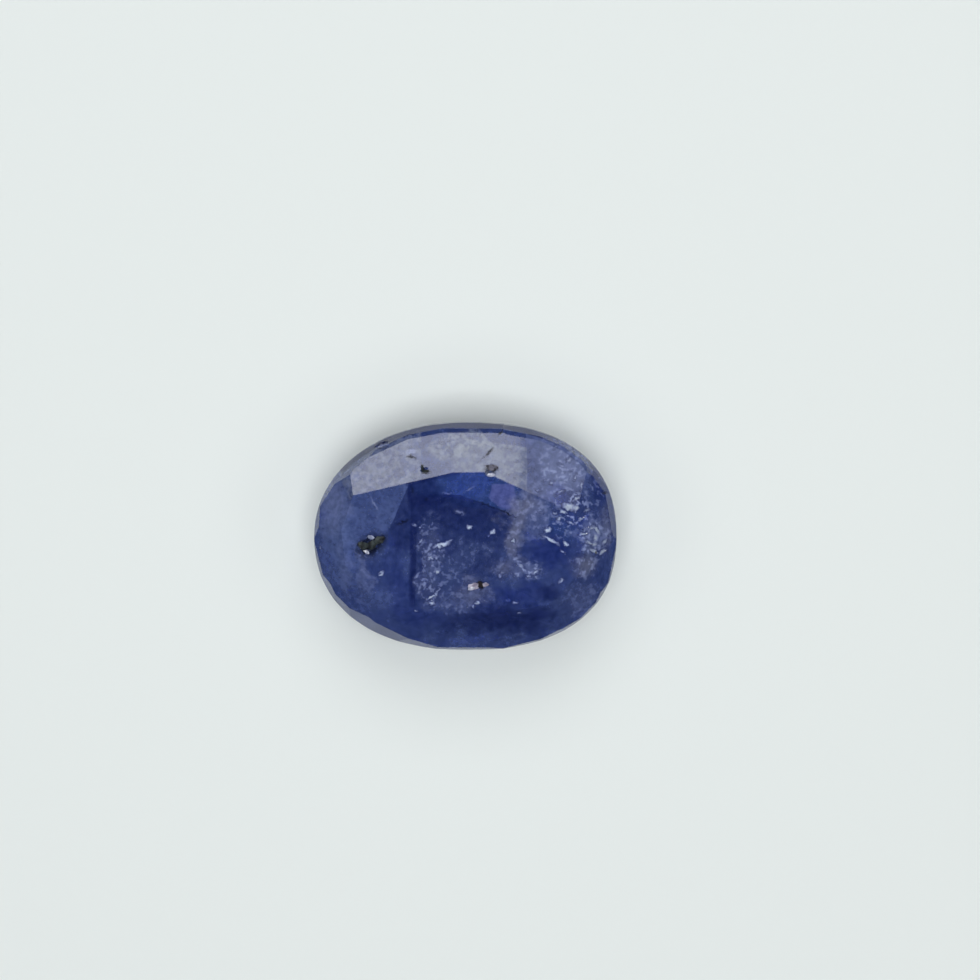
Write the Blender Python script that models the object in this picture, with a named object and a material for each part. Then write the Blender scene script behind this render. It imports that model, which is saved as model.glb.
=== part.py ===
"""Blue sapphire: a loose oval stone, hand faceted, standing on the flat culet under it.

Run with: blender --background --python part.py
All lengths are in metres and +Z is up. The stone's length runs along X. The origin is on the
surface that the stone stands on, under the middle of its outline.
"""
import math
import random

import bmesh
import bpy
from mathutils import Vector

MM = 0.001

# Driving dimensions of the whole stone
STONE_LENGTH = 13.0 * MM
STONE_WIDTH = 9.9 * MM
STONE_DEPTH = 5.5 * MM
CROWN_HEIGHT = 1.3 * MM
GIRDLE_THICKNESS = 0.3 * MM

# The outline is an oval with slightly different shoulders, as hand cutting leaves it.
# Each power says how square one quarter is: 2 is a true ellipse, more is squarer.
GIRDLE_SIDES = 96
POWER_BACK_RIGHT = 2.40
POWER_BACK_LEFT = 2.08
POWER_FRONT_LEFT = 2.24
POWER_FRONT_RIGHT = 2.40

# Corners of the table, the big flat on top, counter-clockwise from the back left
TABLE_CORNERS = (
    (-4.75 * MM, 1.98 * MM),
    (-5.27 * MM, 0.48 * MM),
    (-5.10 * MM, -1.04 * MM),
    (-3.89 * MM, -2.48 * MM),
    (-1.52 * MM, -3.13 * MM),
    (1.50 * MM, -3.09 * MM),
    (3.57 * MM, -2.74 * MM),
    (4.81 * MM, -1.48 * MM),
    (5.16 * MM, -0.17 * MM),
    (4.73 * MM, 1.20 * MM),
    (0.81 * MM, 2.98 * MM),
    (-0.53 * MM, 2.96 * MM),
)

# Corners of the culet, the flat below that the stone stands on, counter-clockwise
CULET_CORNERS = (
    (-1.13 * MM, 1.52 * MM),
    (-2.30 * MM, 0.17 * MM),
    (-2.35 * MM, -1.63 * MM),
    (-1.30 * MM, -2.38 * MM),
    (1.50 * MM, -2.28 * MM),
    (2.40 * MM, -1.28 * MM),
    (2.10 * MM, 0.52 * MM),
    (0.45 * MM, 1.27 * MM),
)

# The row of narrow steep facets above the girdle. The broad facets aim at a line above the
# girdle, and the row fills that height: high at the back, low at the sides, and highest and
# least steep at the front left, where the stone was left thick.
UPPER_GIRDLE_FACETS = 26
UPPER_GIRDLE_SLOPE = math.radians(66.0)
FRONT_LEFT_SLOPE = math.radians(54.0)
ROW_HEIGHT_SIDES = 0.14 * MM
ROW_HEIGHT_BACK = 0.42 * MM
ROW_HEIGHT_FRONT_LEFT = 0.52 * MM
FRONT_LEFT = math.radians(240.0)

# The row of facets below the girdle
LOWER_GIRDLE_FACETS = 18
LOWER_GIRDLE_SLOPE = math.radians(56.0)
LOWER_ROW_HEIGHT = 0.35 * MM

# Hand cutting leaves each girdle facet a little off: half the spread of its angle and depth
CUT_SEED = 7
ANGLE_SPREAD = math.radians(1.2)
DEPTH_SPREAD = 0.02 * MM

# Corners closer than this come from three cuts that just miss each other, and are one corner
CORNER_MERGE = 0.006 * MM

# Open cavities and chips: place, half sizes along X, Y and Z, turn about Z in degrees
TABLE_PIT = ((1.11 * MM, 2.96 * MM, 5.46 * MM), (0.27 * MM, 0.20 * MM, 0.13 * MM), 12.0)
CROWN_PIT = ((-1.74 * MM, 3.07 * MM, 5.33 * MM), (0.20 * MM, 0.09 * MM, 0.10 * MM), 24.0)
FRONT_PIT = ((0.63 * MM, -1.88 * MM, 5.50 * MM), (0.26 * MM, 0.14 * MM, 0.10 * MM), -8.0)
SIDE_PIT = ((-4.02 * MM, -0.18 * MM, 5.50 * MM), (0.42 * MM, 0.20 * MM, 0.12 * MM), 34.0)
GIRDLE_CHIP = ((-3.56 * MM, 4.05 * MM, 4.50 * MM), (0.33 * MM, 0.14 * MM, 0.16 * MM), 28.0)
CAVITIES = (
    ("table_pit", TABLE_PIT),
    ("crown_pit", CROWN_PIT),
    ("front_pit", FRONT_PIT),
    ("side_pit", SIDE_PIT),
    ("girdle_chip", GIRDLE_CHIP),
)
CAVITY_SEED = 21
CAVITY_ROUGHNESS = 0.28

# Colour and finish of the stone
SAPPHIRE_BLUE = (0.045, 0.085, 0.36, 1.0)
SAPPHIRE_ROUGHNESS = 0.12
SAPPHIRE_IOR = 1.77

GIRDLE_TOP = STONE_DEPTH - CROWN_HEIGHT
GIRDLE_BOTTOM = GIRDLE_TOP - GIRDLE_THICKNESS


def clear_scene():
    """Take every object out of the open scene."""
    for thing in list(bpy.data.objects):
        bpy.data.objects.remove(thing, do_unlink=True)


def new_collection(name):
    """Make a collection in the scene and return it."""
    group = bpy.data.collections.new(name)
    bpy.context.scene.collection.children.link(group)
    return group


def quarter_power(angle):
    """Say how square the outline is in the quarter that an angle points to."""
    to_right = math.cos(angle) >= 0.0
    if math.sin(angle) >= 0.0:
        return POWER_BACK_RIGHT if to_right else POWER_BACK_LEFT
    return POWER_FRONT_RIGHT if to_right else POWER_FRONT_LEFT


def outline_point(angle):
    """Point of the girdle outline, a superellipse, at one value of its parameter."""
    power = 2.0 / quarter_power(angle)
    across = math.copysign(abs(math.cos(angle)) ** power, math.cos(angle))
    along = math.copysign(abs(math.sin(angle)) ** power, math.sin(angle))
    return Vector((across * STONE_LENGTH / 2, along * STONE_WIDTH / 2))


def girdle_outline():
    """Points of the outline seen from above, counter-clockwise."""
    return [outline_point(math.tau * side / GIRDLE_SIDES) for side in range(GIRDLE_SIDES)]


def reach(outline, direction):
    """How far the outline goes from the middle in one direction."""
    return max(point.dot(direction) for point in outline)


def make_blank(outline, group):
    """Make the upright prism that the facets are cut from, and return it as a mesh object."""
    curve = bpy.data.curves.new("blank", "CURVE")
    curve.dimensions = "2D"
    curve.fill_mode = "BOTH"
    curve.extrude = STONE_DEPTH / 2
    spline = curve.splines.new("POLY")
    spline.points.add(len(outline) - 1)
    for corner, point in zip(spline.points, outline):
        corner.co = (point.x, point.y, 0.0, 1.0)
    spline.use_cyclic_u = True
    pattern = bpy.data.objects.new("blank", curve)
    pattern.location.z = STONE_DEPTH / 2
    group.objects.link(pattern)
    bpy.context.view_layer.update()
    evaluated = pattern.evaluated_get(bpy.context.evaluated_depsgraph_get())
    mesh = bpy.data.meshes.new_from_object(evaluated)
    mesh.name = "sapphire"
    mesh.transform(pattern.matrix_world)
    bpy.data.objects.remove(pattern, do_unlink=True)
    stone = bpy.data.objects.new("sapphire", mesh)
    group.objects.link(stone)
    return stone


def cut_facet(solid, point, normal):
    """Grind the solid flat: take off all that lies beyond the plane, and close it there."""
    everything = solid.verts[:] + solid.edges[:] + solid.faces[:]
    cut = bmesh.ops.bisect_plane(
        solid, geom=everything, dist=CORNER_MERGE / 4,
        plane_co=point, plane_no=normal, clear_outer=True)
    rim = [piece for piece in cut["geom_cut"] if isinstance(piece, bmesh.types.BMEdge)]
    if len(rim) > 2:
        bmesh.ops.edgeloop_fill(solid, edges=rim)


def edge_normal(first, second):
    """Outward direction, seen from above, of the edge between two counter-clockwise corners."""
    along = (Vector(second) - Vector(first)).normalized()
    return Vector((along.y, -along.x))


def front_left_share(outward):
    """Say how far a direction points to the front left: 1 there, falling softly to 0."""
    return max(0.0, outward.dot(Vector((math.cos(FRONT_LEFT), math.sin(FRONT_LEFT))))) ** 12


def row_height(outward):
    """Height of the steep row above the girdle, on the side that a direction points to."""
    height = ROW_HEIGHT_SIDES
    height += (ROW_HEIGHT_BACK - ROW_HEIGHT_SIDES) * max(0.0, outward.y) ** 2
    height += (ROW_HEIGHT_FRONT_LEFT - ROW_HEIGHT_SIDES) * front_left_share(outward)
    return height


def upper_slope(outward):
    """Slope of the row above the girdle, on the side that a direction points to."""
    return UPPER_GIRDLE_SLOPE + (FRONT_LEFT_SLOPE - UPPER_GIRDLE_SLOPE) * front_left_share(outward)


def lower_slope(outward):
    """Slope of the row below the girdle, the same all round."""
    return LOWER_GIRDLE_SLOPE


def crown_foot(outward):
    """Level at which a broad crown facet would leave the outline."""
    return GIRDLE_TOP + row_height(outward)


def pavilion_foot(outward):
    """Level at which a broad pavilion facet would leave the outline."""
    return GIRDLE_BOTTOM - LOWER_ROW_HEIGHT


def cut_broad_facets(solid, outline, corners, flat_height, foot):
    """Cut one broad facet from each edge of a flat, the table or the culet, down the side.

    Each plane starts at its edge of the flat and leaves the outline at the level that foot
    gives, where the outline reaches furthest its way, so its slope follows from the two.
    """
    for first, second in zip(corners, corners[1:] + corners[:1]):
        outward = edge_normal(first, second)
        run = reach(outline, outward) - Vector(first).dot(outward)
        rise = flat_height - foot(outward)
        side = math.copysign(1.0, rise)
        normal = Vector((outward.x * abs(rise), outward.y * abs(rise), side * run)).normalized()
        cut_facet(solid, (first[0], first[1], flat_height), normal)


def cut_girdle_facets(solid, outline, count, height, slope, side, chance):
    """Cut a row of narrow facets round the stone, each at about the slope for its side.

    height is the level at which they leave the girdle, and side is 1 above it and -1 below.
    """
    for facet in range(count):
        corner = outline_point(math.tau * (facet + 0.5) / count)
        outward = Vector((corner.x / STONE_LENGTH ** 2, corner.y / STONE_WIDTH ** 2)).normalized()
        angle = slope(outward) + chance.uniform(-ANGLE_SPREAD, ANGLE_SPREAD)
        distance = reach(outline, outward) - chance.uniform(0.0, DEPTH_SPREAD)
        normal = Vector((
            outward.x * math.sin(angle), outward.y * math.sin(angle), side * math.cos(angle)))
        cut_facet(solid, (outward.x * distance, outward.y * distance, height), normal)


def facet_stone(stone, outline):
    """Cut the crown and the pavilion on the blank."""
    solid = bmesh.new()
    solid.from_mesh(stone.data)
    bmesh.ops.remove_doubles(solid, verts=solid.verts, dist=CORNER_MERGE)
    bmesh.ops.dissolve_limit(
        solid, angle_limit=math.radians(0.1), verts=solid.verts, edges=solid.edges)
    chance = random.Random(CUT_SEED)
    cut_broad_facets(solid, outline, TABLE_CORNERS, STONE_DEPTH, crown_foot)
    cut_girdle_facets(
        solid, outline, UPPER_GIRDLE_FACETS, GIRDLE_TOP, upper_slope, 1.0, chance)
    cut_broad_facets(solid, outline, CULET_CORNERS, 0.0, pavilion_foot)
    cut_girdle_facets(
        solid, outline, LOWER_GIRDLE_FACETS, GIRDLE_BOTTOM, lower_slope, -1.0, chance)
    bmesh.ops.remove_doubles(solid, verts=solid.verts, dist=CORNER_MERGE)
    bmesh.ops.dissolve_degenerate(solid, dist=CORNER_MERGE, edges=solid.edges)
    bmesh.ops.recalc_face_normals(solid, faces=solid.faces)
    solid.to_mesh(stone.data)
    solid.free()


def make_cavity_cutter(name, place, half_sizes, turn, group, chance):
    """Make the rough lump whose shape a cavity has, as a cutter."""
    solid = bmesh.new()
    bmesh.ops.create_icosphere(solid, subdivisions=2, radius=1.0)
    for corner in solid.verts:
        corner.co *= 1.0 + chance.uniform(-CAVITY_ROUGHNESS, CAVITY_ROUGHNESS) / 2
        corner.co = Vector([axis * half for axis, half in zip(corner.co, half_sizes)])
    mesh = bpy.data.meshes.new(name)
    solid.to_mesh(mesh)
    solid.free()
    cutter = bpy.data.objects.new(name, mesh)
    cutter.location = place
    cutter.rotation_euler.z = math.radians(turn)
    cutter.hide_render = True
    cutter.display_type = "WIRE"
    group.objects.link(cutter)
    return cutter


def cut_cavities(stone, group):
    """Open each cavity and chip in the stone's surface."""
    chance = random.Random(CAVITY_SEED)
    for name, (place, half_sizes, turn) in CAVITIES:
        cutter = make_cavity_cutter(name, place, half_sizes, turn, group, chance)
        boolean = stone.modifiers.new(name, "BOOLEAN")
        boolean.operation = "DIFFERENCE"
        boolean.solver = "EXACT"
        boolean.object = cutter


def sapphire_material():
    """Clear blue stone with a polished surface."""
    material = bpy.data.materials.new("sapphire_blue")
    material.use_nodes = True
    shader = material.node_tree.nodes["Principled BSDF"]
    shader.inputs["Base Color"].default_value = SAPPHIRE_BLUE
    shader.inputs["Roughness"].default_value = SAPPHIRE_ROUGHNESS
    shader.inputs["Metallic"].default_value = 0.0
    shader.inputs["IOR"].default_value = SAPPHIRE_IOR
    material.diffuse_color = SAPPHIRE_BLUE
    return material


def main():
    """Build the stone."""
    clear_scene()
    stone_group = new_collection("blue_sapphire")
    cutter_group = new_collection("cutters")
    outline = girdle_outline()
    stone = make_blank(outline, stone_group)
    facet_stone(stone, outline)
    stone.data.materials.append(sapphire_material())
    cut_cavities(stone, cutter_group)


main()
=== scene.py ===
"""Studio picture of a loose oval blue sapphire that stands on its culet.

The stone is a faceted crystal with silk clouds, feathers and small dark crystals. Each is placed
where the photograph shows it: a line of sight runs through the named pixel to the stone. For the
feathers it is bent at the surface, as light is, and followed to the stated depth.
"""
import logging
import math
from dataclasses import dataclass, field
from enum import Enum
from functools import cache

import bmesh
import bpy
import numpy as np
from mathutils import Matrix, Vector
from mathutils.bvhtree import BVHTree


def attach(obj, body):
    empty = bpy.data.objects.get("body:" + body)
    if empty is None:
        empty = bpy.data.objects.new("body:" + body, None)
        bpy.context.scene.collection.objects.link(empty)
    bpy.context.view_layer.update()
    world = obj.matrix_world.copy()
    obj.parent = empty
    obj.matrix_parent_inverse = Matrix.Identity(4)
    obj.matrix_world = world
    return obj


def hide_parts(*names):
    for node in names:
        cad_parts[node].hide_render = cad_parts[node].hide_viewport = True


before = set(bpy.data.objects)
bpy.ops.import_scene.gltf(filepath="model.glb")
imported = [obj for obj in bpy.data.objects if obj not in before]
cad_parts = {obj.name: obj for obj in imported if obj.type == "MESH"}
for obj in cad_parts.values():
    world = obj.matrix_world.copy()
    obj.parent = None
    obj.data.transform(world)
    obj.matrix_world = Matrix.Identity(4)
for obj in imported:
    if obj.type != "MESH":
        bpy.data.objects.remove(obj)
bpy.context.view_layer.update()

MM = 0.001
IOR = 1.77
LOG = logging.getLogger("sapphire")

Colour = tuple[float, float, float]
Pixel = tuple[float, float]


# Helpers for meshes


def make_object(name: str, points: np.ndarray, faces: list[tuple[int, ...]],
                material: bpy.types.Material) -> bpy.types.Object:
    """Make a mesh object in the scene.

    Args:
        name: the object's name.
        points: the corners in metres, one row each.
        faces: the corner numbers of each face.
        material: the finish of every face.

    Returns:
        The object, at the origin, with its place in its mesh.
    """
    mesh = bpy.data.meshes.new(name)
    mesh.from_pydata(np.asarray(points, dtype=float).tolist(), [], faces)
    mesh.materials.append(material)
    mesh.update()
    piece = bpy.data.objects.new(name, mesh)
    bpy.context.scene.collection.objects.link(piece)
    return piece


def keep_in_stone(piece: bpy.types.Object) -> None:
    """Say that a piece belongs to the stone."""
    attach(piece, "root")


def turned_frames(axes: np.ndarray, spins: np.ndarray) -> tuple[np.ndarray, np.ndarray]:
    """Find two directions across each axis, turned round it.

    Args:
        axes: unit vectors, one row each.
        spins: the turn about each, in radians.

    Returns:
        Two arrays of unit vectors that make a right-angled frame with the axes. The first is
        the part across the axis of a fixed direction, turned by the spin.
    """
    fixed = np.where(np.abs(axes[:, 2:3]) < 0.9, [[0.0, 0.0, 1.0]], [[1.0, 0.0, 0.0]])
    first = np.cross(fixed, axes)
    first /= np.linalg.norm(first, axis=1, keepdims=True)
    second = np.cross(axes, first)
    cosine, sine = np.cos(spins)[:, None], np.sin(spins)[:, None]
    return first * cosine + second * sine, second * cosine - first * sine


def shard_meshes(places: np.ndarray, axes: np.ndarray, lengths: np.ndarray, widths: np.ndarray,
                 thick: np.ndarray, spins: np.ndarray, chance: np.random.Generator,
                 sides: int = 7, ragged: float = 0.34) -> tuple[np.ndarray, list[tuple[int, ...]]]:
    """Make many thin lens-shaped shards at once.

    Each is a ragged ring of corners in the plane across its axis, with radius 1 plus or minus
    a random share, stretched to its length and width, and a pole on either side of the ring at
    half its thickness.

    Args:
        places: the middle of each shard, in metres.
        axes: the direction that each flat side faces.
        lengths: the long size of each.
        widths: the size across that.
        thick: the thickness of each.
        spins: the turn of each about its axis, in radians.
        chance: the random numbers.
        sides: corners in a ring.
        ragged: the largest share by which a corner's radius is off.

    Returns:
        All the corners, and the faces between them.
    """
    count = len(places)
    along, across = turned_frames(axes, spins)
    angle = np.linspace(0.0, math.tau, sides, endpoint=False)[None, :]
    radius = 1.0 + chance.uniform(-ragged, ragged, (count, sides))
    u = np.cos(angle) * radius * lengths[:, None] / 2
    v = np.sin(angle) * radius * widths[:, None] / 2
    ring = places[:, None] + u[..., None] * along[:, None] + v[..., None] * across[:, None]
    half = axes * thick[:, None] / 2
    points = np.concatenate([ring, (places + half)[:, None], (places - half)[:, None]], axis=1)
    near = np.arange(sides)
    after = (near + 1) % sides
    top = np.stack([near, after, np.full(sides, sides)], axis=1)
    bottom = np.stack([after, near, np.full(sides, sides + 1)], axis=1)
    one = np.concatenate([top, bottom])
    faces = (one[None] + (np.arange(count) * (sides + 2))[:, None, None]).reshape(-1, 3)
    return points.reshape(-1, 3), [tuple(face) for face in faces.tolist()]


def grid_faces(rows: int, columns: int) -> list[tuple[int, ...]]:
    """Faces of a closed surface with a pole at either end.

    Args:
        rows: rings of corners between the poles.
        columns: corners in each ring.

    Returns:
        The faces. The rings' corners come first, row by row, and then the two poles.
    """
    row, column = np.meshgrid(np.arange(rows - 1), np.arange(columns), indexing="ij")
    beside = (column + 1) % columns
    quads = np.stack([
        row * columns + column, row * columns + beside,
        (row + 1) * columns + beside, (row + 1) * columns + column], axis=-1).reshape(-1, 4)
    near = np.arange(columns)
    after = (near + 1) % columns
    first = np.stack([np.full(columns, rows * columns), after, near], axis=1)
    last = (rows - 1) * columns
    end = np.stack([np.full(columns, rows * columns + 1), last + near, last + after], axis=1)
    return [tuple(face) for part in (quads, first, end) for face in part.tolist()]


def sphere_directions(rows: int, columns: int) -> np.ndarray:
    """Spread unit vectors over a sphere.

    Each ring's height is minus the cosine of an angle that grows evenly from pole to pole.

    Args:
        rows: rings between the poles.
        columns: directions in each ring.

    Returns:
        The directions, ring by ring from below, and then the lower and the upper pole.
    """
    height = -np.cos(np.linspace(0.0, math.pi, rows + 2)[1:-1])[:, None]
    turn = np.linspace(0.0, math.tau, columns, endpoint=False)[None, :]
    radius = np.sqrt(1.0 - height ** 2)
    ring = np.stack([
        radius * np.cos(turn), radius * np.sin(turn), height + 0.0 * turn], axis=-1)
    return np.concatenate([ring.reshape(-1, 3), [[0.0, 0.0, -1.0], [0.0, 0.0, 1.0]]])


# Camera, light and floor


@dataclass
class PhotoCamera:
    """The camera at the photograph's viewing angle, looking down on the table.

    The view leans towards the back of the stone, so the table's normal points a little to the
    bottom of the picture.
    """

    lean_deg: float = 8.0
    distance: float = 120.0 * MM
    frame_pixels: float = 980.0
    pixels_per_mm: float = 23.2
    stone_pixel: Pixel = (465.3, 536.3)
    stone_height: float = 4.05 * MM
    lens_mm: float = 100.0

    def __post_init__(self) -> None:
        """Work out the camera's directions and place."""
        lean = math.radians(self.lean_deg)
        self.right = Vector((1.0, 0.0, 0.0))
        self.back = Vector((0.0, math.sin(lean), math.cos(lean)))
        self.up = self.back.cross(self.right)
        self.pixel = MM / self.pixels_per_mm
        middle = self.frame_pixels / 2
        aim = Vector((0.0, 0.0, self.stone_height))
        aim -= self.right * (self.stone_pixel[0] - middle) * self.pixel
        aim += self.up * (self.stone_pixel[1] - middle) * self.pixel
        self.aim = aim
        self.eye = aim + self.back * self.distance

    def build(self) -> None:
        """Make the camera and use it."""
        data = bpy.data.cameras.new("camera")
        data.lens = self.lens_mm
        data.sensor_width = self.lens_mm * self.frame_pixels * self.pixel / self.distance
        data.clip_start = 1.0 * MM
        data.clip_end = 10.0
        camera = bpy.data.objects.new("camera", data)
        turned = Matrix((self.right, self.up, self.back)).transposed().to_4x4()
        camera.matrix_world = Matrix.Translation(self.eye) @ turned
        bpy.context.scene.collection.objects.link(camera)
        bpy.context.scene.camera = camera

    def sight(self, pixel: Pixel) -> Vector:
        """Find the line of sight through one pixel.

        Args:
            pixel: the place in the photograph.

        Returns:
            Its direction from the camera.
        """
        middle = self.frame_pixels / 2
        point = self.aim + self.right * (pixel[0] - middle) * self.pixel
        point -= self.up * (pixel[1] - middle) * self.pixel
        return (point - self.eye).normalized()


@dataclass(frozen=True)
class Panel:
    """One soft light panel that faces the stone.

    The azimuth is 0 at the back and 90 on the right, and the elevation is over the floor. The
    width runs along the floor. With radiance 1 the panel looks as bright as white paper in full
    light. The shift moves it to its right in its own plane. A panel that isn't mirrored lights
    what is matt and is not seen in the polished flats.
    """

    name: str
    azimuth_deg: float
    elevation_deg: float
    width: float
    height: float
    radiance: float
    shift: float = 0.0
    mirrored: bool = True
    distance: float = 0.30

    def hang(self) -> None:
        """Hang the panel in its place."""
        azimuth, elevation = math.radians(self.azimuth_deg), math.radians(self.elevation_deg)
        out = Vector((
            math.sin(azimuth) * math.cos(elevation),
            math.cos(azimuth) * math.cos(elevation),
            math.sin(elevation)))
        light = bpy.data.lights.new(self.name, "AREA")
        light.shape = "RECTANGLE"
        light.size = self.width
        light.size_y = self.height
        light.energy = self.radiance * math.pi * self.width * self.height
        panel = bpy.data.objects.new(self.name, light)
        beside = Vector((math.cos(azimuth), -math.sin(azimuth), 0.0))
        panel.location = out * self.distance + beside * self.shift
        panel.rotation_mode = "QUATERNION"
        panel.rotation_quaternion = out.to_track_quat("Z", "Y")
        panel.visible_camera = False
        panel.visible_glossy = self.mirrored
        panel.visible_transmission = self.mirrored
        bpy.context.scene.collection.objects.link(panel)


PANELS = (
    Panel("panel_back", -1.6, 53.0, 0.198, 0.18, 2.25, -0.0012),
    Panel("panel_back_dim", -1.6, 53.0, 0.027, 0.18, 0.50, 0.1115),
    Panel("panel_left", -92.0, 50.0, 0.24, 0.10, 0.9),
    Panel("panel_right", 96.0, 50.0, 0.24, 0.10, 0.9),
    Panel("panel_front", 180.0, 55.0, 0.24, 0.09, 0.8),
    Panel("panel_above", 0.0, 90.0, 0.14, 0.14, 8.95, mirrored=False),
)


@dataclass
class Studio:
    """A pale floor, a pale room and soft light panels round the stone."""

    floor_half: float = 1.0
    floor_gap: float = 0.02 * MM
    floor_colour: Colour = (0.80, 0.85, 0.84)
    room_colour: Colour = (0.82, 0.88, 0.90)
    room_strength: float = 0.05

    def build(self) -> None:
        """Lay the floor, hang the panels and set the room's light."""
        self.lay_floor()
        for panel in PANELS:
            panel.hang()
        world = bpy.data.worlds.new("room")
        world.use_nodes = True
        background = world.node_tree.nodes["Background"]
        background.inputs["Color"].default_value = (*self.room_colour, 1.0)
        background.inputs["Strength"].default_value = self.room_strength
        bpy.context.scene.world = world

    def lay_floor(self) -> None:
        """Lay the pale floor just under the culet."""
        half, level = self.floor_half, -self.floor_gap
        corners = np.array([
            (-half, -half, level), (half, -half, level), (half, half, level),
            (-half, half, level)])
        paper = PaperFinish(self.floor_colour).build()
        make_object("floor", corners, [(0, 1, 2, 3)], paper)


# Helpers for materials


class NodeTree:
    """Adds and wires the nodes of one tree."""

    def __init__(self, tree: bpy.types.NodeTree) -> None:
        """Take the tree to work on."""
        self.tree = tree

    def add(self, kind: str, inputs: dict | None = None, **settings: object) -> bpy.types.Node:
        """Add a node.

        Args:
            kind: the node's type.
            inputs: values or sockets for its inputs, by name or number.
            settings: values for its own properties.

        Returns:
            The new node.
        """
        node = self.tree.nodes.new(kind)
        for name, value in settings.items():
            setattr(node, name, value)
        for name, value in (inputs or {}).items():
            if isinstance(value, bpy.types.NodeSocket):
                self.tree.links.new(value, node.inputs[name])
            else:
                node.inputs[name].default_value = value
        return node

    def group(self, tree: bpy.types.NodeTree, inputs: dict) -> bpy.types.Node:
        """Add a node group with its inputs."""
        return self.add("ShaderNodeGroup", inputs, node_tree=tree)

    def vector(self, operation: str, first: object, second: object) -> bpy.types.NodeSocket:
        """Join two vectors with a Vector Math node and return the result."""
        node = self.add("ShaderNodeVectorMath", {0: first, 1: second}, operation=operation)
        return node.outputs[0]

    def scaled(self, vector: object, scale: object) -> bpy.types.NodeSocket:
        """Make a vector longer or shorter with a Vector Math node and return the result."""
        return self.add(
            "ShaderNodeVectorMath", {0: vector, "Scale": scale}, operation="SCALE").outputs[0]

    def noise(self, place: bpy.types.NodeSocket, scale: object, detail: float = 3.0,
              roughness: float = 0.6) -> bpy.types.Node:
        """Add a noise texture."""
        return self.add("ShaderNodeTexNoise", {
            "Vector": place, "Scale": scale, "Detail": detail, "Roughness": roughness})

    def maths(self, operation: str, first: object, second: object = 0.0) -> bpy.types.NodeSocket:
        """Join two numbers with a Math node and return the result."""
        node = self.add("ShaderNodeMath", {0: first, 1: second}, operation=operation)
        return node.outputs[0]

    def between(self, amount: object, first: float, second: float) -> bpy.types.NodeSocket:
        """Pick a number between two by an amount, 0 for the first and 1 for the second."""
        return self.add("ShaderNodeMix", {0: amount, 2: first, 3: second}).outputs[0]

    def blend(self, amount: object, first: object, second: object) -> bpy.types.NodeSocket:
        """Blend two colours.

        Args:
            amount: 0 for the first and 1 for the second.
            first: a colour or a socket.
            second: a colour or a socket.

        Returns:
            The blend.
        """
        low, high = (
            (*part, 1.0) if isinstance(part, tuple) else part for part in (first, second))
        node = self.add("ShaderNodeMix", {0: amount, 6: low, 7: high}, data_type="RGBA")
        return node.outputs[2]

    def smooth_step(self, value: object, low: object, high: object) -> bpy.types.NodeSocket:
        """Turn a value into 0 below low and 1 above high, with a smooth step between."""
        span = {"Value": value, "From Min": low, "From Max": high}
        return self.add("ShaderNodeMapRange", span, interpolation_type="SMOOTHSTEP").outputs[0]


def new_group(name: str, inputs: dict[str, object], outputs: list[str]) -> bpy.types.NodeTree:
    """Start a shader node group.

    Args:
        name: the group's name.
        inputs: each input's name with its default, a number or a triple.
        outputs: the names of its outputs, which are numbers.

    Returns:
        The group, with its input and output nodes in it.
    """
    group = bpy.data.node_groups.new(name, "ShaderNodeTree")
    for label, value in inputs.items():
        kind = "NodeSocketFloat" if isinstance(value, float) else "NodeSocketVector"
        group.interface.new_socket(label, in_out="INPUT", socket_type=kind).default_value = value
    for label in outputs:
        group.interface.new_socket(label, in_out="OUTPUT", socket_type="NodeSocketFloat")
    group.nodes.new("NodeGroupInput")
    group.nodes.new("NodeGroupOutput")
    return group


@cache
def spot_group() -> bpy.types.NodeTree:
    """Make the group for one soft turned oval.

    The place is moved to the oval's middle, turned with it and divided by its half sizes, and the
    level is one minus the distance there. Its height takes no part when its Z half size is large.

    Returns:
        The group, which gives the strength in the oval's middle and 0 at its edge.
    """
    group = new_group("spot", {
        "Position": (0.0, 0.0, 0.0), "Centre": (0.0, 0.0, 0.0), "Turn": (0.0, 0.0, 0.0),
        "Half Size": (1.0, 1.0, 1.0), "Strength": 1.0}, ["Level"])
    nodes = NodeTree(group)
    given = group.nodes["Group Input"].outputs
    placed = nodes.add("ShaderNodeMapping", {
        "Vector": given["Position"], "Location": given["Centre"], "Rotation": given["Turn"],
        "Scale": given["Half Size"]}, vector_type="TEXTURE")
    ball = nodes.add(
        "ShaderNodeTexGradient", {"Vector": placed.outputs[0]}, gradient_type="SPHERICAL")
    level = nodes.maths("MULTIPLY", ball.outputs["Fac"], given["Strength"])
    nodes.tree.links.new(level, group.nodes["Group Output"].inputs["Level"])
    return group


def zone_side_group() -> bpy.types.NodeTree:
    """Make the group for one straight side of a zone.

    Inward is the direction into the zone divided by the softness, and Start is the line's own
    value along it, so the step between is as wide as the softness.

    Returns:
        The group, which gives 1 on the inner side of the line and 0 past it.
    """
    group = new_group("zone_side", {
        "Position": (0.0, 0.0, 0.0), "Inward": (0.0, 1.0, 0.0), "Start": 0.0}, ["Mask"])
    nodes = NodeTree(group)
    given = group.nodes["Group Input"].outputs
    share = nodes.add(
        "ShaderNodeVectorMath", {0: given["Position"], 1: given["Inward"]},
        operation="DOT_PRODUCT")
    past = nodes.maths("SUBTRACT", share.outputs["Value"], given["Start"])
    step = nodes.smooth_step(past, -0.5, 0.5)
    nodes.tree.links.new(step, group.nodes["Group Output"].inputs["Mask"])
    return group


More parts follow.
